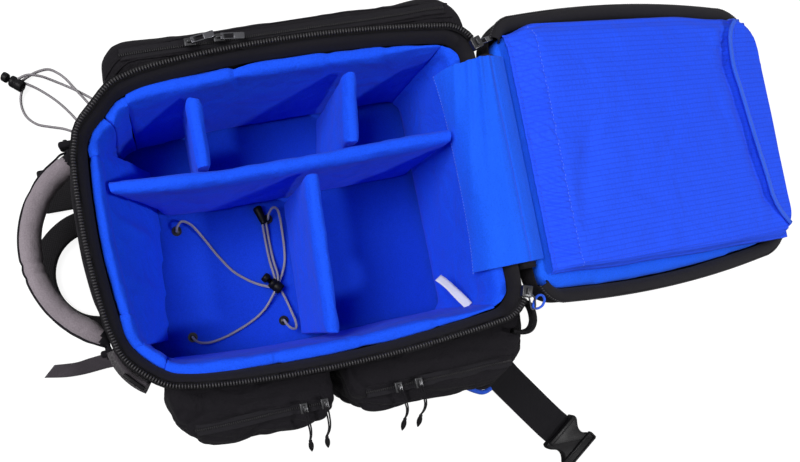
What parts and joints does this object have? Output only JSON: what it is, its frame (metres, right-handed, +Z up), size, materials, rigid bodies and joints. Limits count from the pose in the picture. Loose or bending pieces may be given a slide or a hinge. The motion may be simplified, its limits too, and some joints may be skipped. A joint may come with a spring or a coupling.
{
  "type": "camera backpack",
  "caption": "Open padded camera backpack lying on its harness, with removable dividers, a hinged lid with a laptop sleeve, side pockets, carry handle, belt and elastic cords.",
  "frame": {"origin": "under the middle of the bag, on the face of the middle back pad that it rests on", "axes": "+X from the handle end to the lid hinge, +Y to the long side pocket, +Z up out of the opening"},
  "size_m": [1.0067, 0.6795, 0.2038],
  "materials": {
    "black_nylon": "matt woven nylon",
    "blue_lining": "brushed loop fabric over foam",
    "blue_ripstop": "thin ripstop nylon",
    "light_blue_loop": "brushed loop fabric",
    "mesh_pad": "matt spacer mesh",
    "webbing": "woven webbing",
    "handle_grey": "smooth padded nylon",
    "elastic_cord": "braided cover",
    "white_label": "smooth printed-fabric tape, left bare",
    "zip_coil": "satin coil on woven tape",
    "slider_metal": "satin black",
    "buckle_plastic": "satin moulded",
    "eyelet": "satin black",
    "stiffener": "plain sheet"
  },
  "bodies": {
    "bag": {"back_panel": "black_nylon", "frame_sheet": "stiffener", "shell_near_panel": "black_nylon", "shell_far_panel": "black_nylon", "shell_handle_end": "black_nylon", "shell_hinge_end": "black_nylon", "rim_band": "black_nylon", "body_zip": "zip_coil", "insert_floor": "blue_lining", "insert_near_wall": "blue_lining", "insert_far_wall": "blue_lining", "insert_handle_wall": "blue_lining", "insert_hinge_wall": "blue_lining", "hinge_strip": "black_nylon", "hinge_flap": "light_blue_loop", "floor_eyelets": "eyelet", "care_label": "white_label", "far_pocket": "black_nylon", "near_pocket_upper": "black_nylon", "near_pocket_lower": "black_nylon", "pocket_zips": "zip_coil", "back_pads": "mesh_pad", "shoulder_strap_far": "mesh_pad", "shoulder_strap_near": "mesh_pad", "belt_wing_far": "mesh_pad", "belt_wing_near": "mesh_pad", "belt_webbing": "webbing", "female_buckle": "buckle_plastic", "male_buckle": "buckle_plastic", "corner_strap": "webbing", "sewn_tabs": "webbing", "inner_cord_a": "elastic_cord", "inner_cord_b": "elastic_cord", "inner_cord_c": "elastic_cord", "inner_cord_d": "elastic_cord", "inner_cord_tails": "elastic_cord", "inner_lock_barrel": "buckle_plastic", "outer_cords": "elastic_cord", "outer_lock_barrel": "buckle_plastic"},
    "lid": {"lid_shell": "black_nylon", "lid_liner": "blue_lining", "lid_zip": "zip_coil", "laptop_sleeve": "blue_ripstop", "lid_pocket": "black_nylon"},
    "sleeve_flap": {"sleeve_flap": "light_blue_loop"},
    "handle": {"handle": "handle_grey"},
    "long_divider": {"long_divider": "blue_lining"},
    "divider_1": {"divider_1": "blue_lining"},
    "divider_2": {"divider_2": "blue_lining"},
    "divider_3": {"divider_3": "blue_lining"},
    "main_slider_far": {"main_slider_far": "slider_metal"},
    "main_slider_near": {"main_slider_near": "slider_metal"},
    "inner_lock_button": {"inner_lock_button": "buckle_plastic"},
    "outer_lock_button": {"outer_lock_button": "buckle_plastic"},
    "far_pocket_slider_a": {"far_pocket_slider_a": "slider_metal"},
    "far_pocket_slider_b": {"far_pocket_slider_b": "slider_metal"},
    "upper_pocket_slider_a": {"upper_pocket_slider_a": "slider_metal"},
    "upper_pocket_slider_b": {"upper_pocket_slider_b": "slider_metal"},
    "lower_pocket_slider_a": {"lower_pocket_slider_a": "slider_metal"},
    "lower_pocket_slider_b": {"lower_pocket_slider_b": "slider_metal"}
  },
  "joints": [
    {"name": "lid_hinge", "type": "hinge", "parent": "bag", "child": "lid", "pos_m": [0.229, 0, 0.2], "axis": [0, -1, 0], "range_deg": [0, 191.5]},
    {"name": "sleeve_flap_hinge", "type": "hinge", "parent": "lid", "child": "sleeve_flap", "pos_m": [0.6617, 0.009, 0.1225], "axis": [0, -1, 0], "range_deg": [-150, 0]},
    {"name": "handle_swing", "type": "hinge", "parent": "bag", "child": "handle", "pos_m": [-0.242, 0.01, 0.1], "axis": [0, 1, 0], "range_deg": [-40, 55]},
    {"name": "long_divider_lift", "type": "slide", "parent": "bag", "child": "long_divider", "axis": [0, 0, -1], "range_m": [-0.15, 0]},
    {"name": "divider_1_lift", "type": "slide", "parent": "bag", "child": "divider_1", "axis": [0, 0, -1], "range_m": [-0.15, 0]},
    {"name": "divider_2_lift", "type": "slide", "parent": "bag", "child": "divider_2", "axis": [0, 0, -1], "range_m": [-0.15, 0]},
    {"name": "divider_3_lift", "type": "slide", "parent": "bag", "child": "divider_3", "axis": [0, 0, -1], "range_m": [-0.15, 0]},
    {"name": "main_slider_far_run", "type": "hinge", "parent": "bag", "child": "main_slider_far", "pos_m": [0.187, 0.127, 0.197], "axis": [0, 0, 1], "range_deg": [0, 60]},
    {"name": "main_slider_near_run", "type": "hinge", "parent": "bag", "child": "main_slider_near", "pos_m": [0.187, -0.127, 0.197], "axis": [0, 0, -1], "range_deg": [0, 60]},
    {"name": "far_pocket_slider_a_run", "type": "slide", "parent": "bag", "child": "far_pocket_slider_a", "axis": [-1, 0, 0], "range_m": [0, 0.065]},
    {"name": "far_pocket_slider_b_run", "type": "slide", "parent": "bag", "child": "far_pocket_slider_b", "axis": [1, 0, 0], "range_m": [0, 0.22]},
    {"name": "upper_pocket_slider_a_run", "type": "slide", "parent": "bag", "child": "upper_pocket_slider_a", "axis": [-1, 0, 0], "range_m": [0, 0.11]},
    {"name": "upper_pocket_slider_b_run", "type": "slide", "parent": "bag", "child": "upper_pocket_slider_b", "axis": [1, 0, 0], "range_m": [0, 0.002]},
    {"name": "lower_pocket_slider_a_run", "type": "slide", "parent": "bag", "child": "lower_pocket_slider_a", "axis": [-1, 0, 0], "range_m": [0, 0.025]},
    {"name": "lower_pocket_slider_b_run", "type": "slide", "parent": "bag", "child": "lower_pocket_slider_b", "axis": [1, 0, 0], "range_m": [0, 0.11]},
    {"name": "inner_lock_press", "type": "slide", "parent": "bag", "child": "inner_lock_button", "axis": [0.6561, -0.7547, 0], "range_m": [0, 0.004], "stiffness_N_per_m": 800, "springref_m": -0.002},
    {"name": "outer_lock_press", "type": "slide", "parent": "bag", "child": "outer_lock_button", "axis": [0.766, -0.6428, 0], "range_m": [0, 0.004], "stiffness_N_per_m": 800, "springref_m": -0.002}
  ]
}
